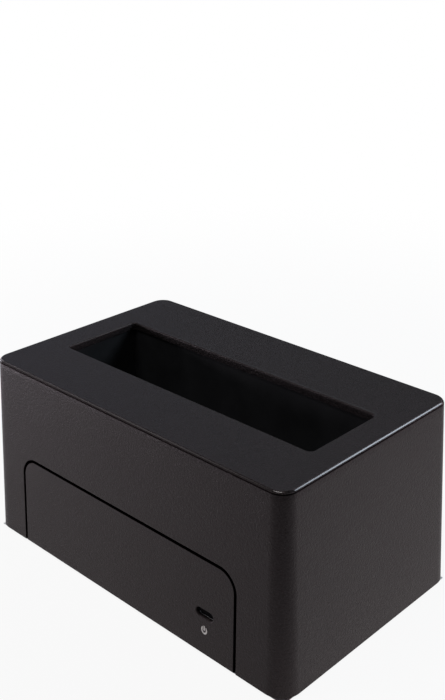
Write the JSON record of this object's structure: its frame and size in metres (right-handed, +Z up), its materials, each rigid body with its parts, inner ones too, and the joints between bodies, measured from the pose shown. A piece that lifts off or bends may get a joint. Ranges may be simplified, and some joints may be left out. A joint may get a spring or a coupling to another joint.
{
  "type": "hard drive docking station",
  "caption": "Free-standing black box with a long slot in its top that a bare hard drive stands in, an arched front panel with an indicator, and rear sockets with a rocker power switch.",
  "frame": {"origin": "on the floor under the middle of the whole object's box", "axes": "+Z up, the front panel faces -Y, +X to the right when looking at the front"},
  "size_m": [0.1306, 0.0802, 0.0622],
  "materials": {
    "case": "fine matte texture",
    "panel": "fine matte texture",
    "base": "fine matte texture",
    "guide": "plain moulded",
    "lens": "polished, tinted",
    "rubber": "matte",
    "steel": "zinc plated",
    "board": "green solder mask",
    "socket": "moulded",
    "contact": "gold flashed",
    "chip": "moulded",
    "coil": "ferrite",
    "can": "drawn can",
    "chip_part": "ceramic",
    "lamp": "clear resin",
    "shell": "nickel plated",
    "insert": "moulded blue",
    "switch": "moulded",
    "rocker": "satin"
  },
  "bodies": {
    "dock": {"upper_case": "case", "front_panel": "panel", "indicator_lens": "lens", "lower_case": "base", "rubber_feet": "rubber", "base_screws": "steel", "drive_guide": "guide", "guide_screws": "steel", "main_board": "board", "board_screws": "steel", "sata_socket": "socket", "sata_contacts": "contact", "bridge_chip": "chip", "support_chips": "chip", "crystal": "steel", "power_inductors": "coil", "smoothing_capacitors": "can", "chip_components": "chip_part", "status_led": "lamp", "led_leads": "steel", "usb_shell": "shell", "usb_insert": "insert", "usb_contacts": "contact", "jack_body": "socket", "jack_pin": "contact", "jack_terminals": "steel", "switch_housing": "switch", "switch_terminals": "steel"},
    "rocker": {"switch_rocker": "rocker"}
  },
  "joints": [
    {"name": "rocker_pivot", "type": "hinge", "parent": "dock", "child": "rocker", "pos_m": [0.03, 0.0356, 0.0306], "axis": [-1, 0, 0], "range_deg": [0, 16]}
  ]
}
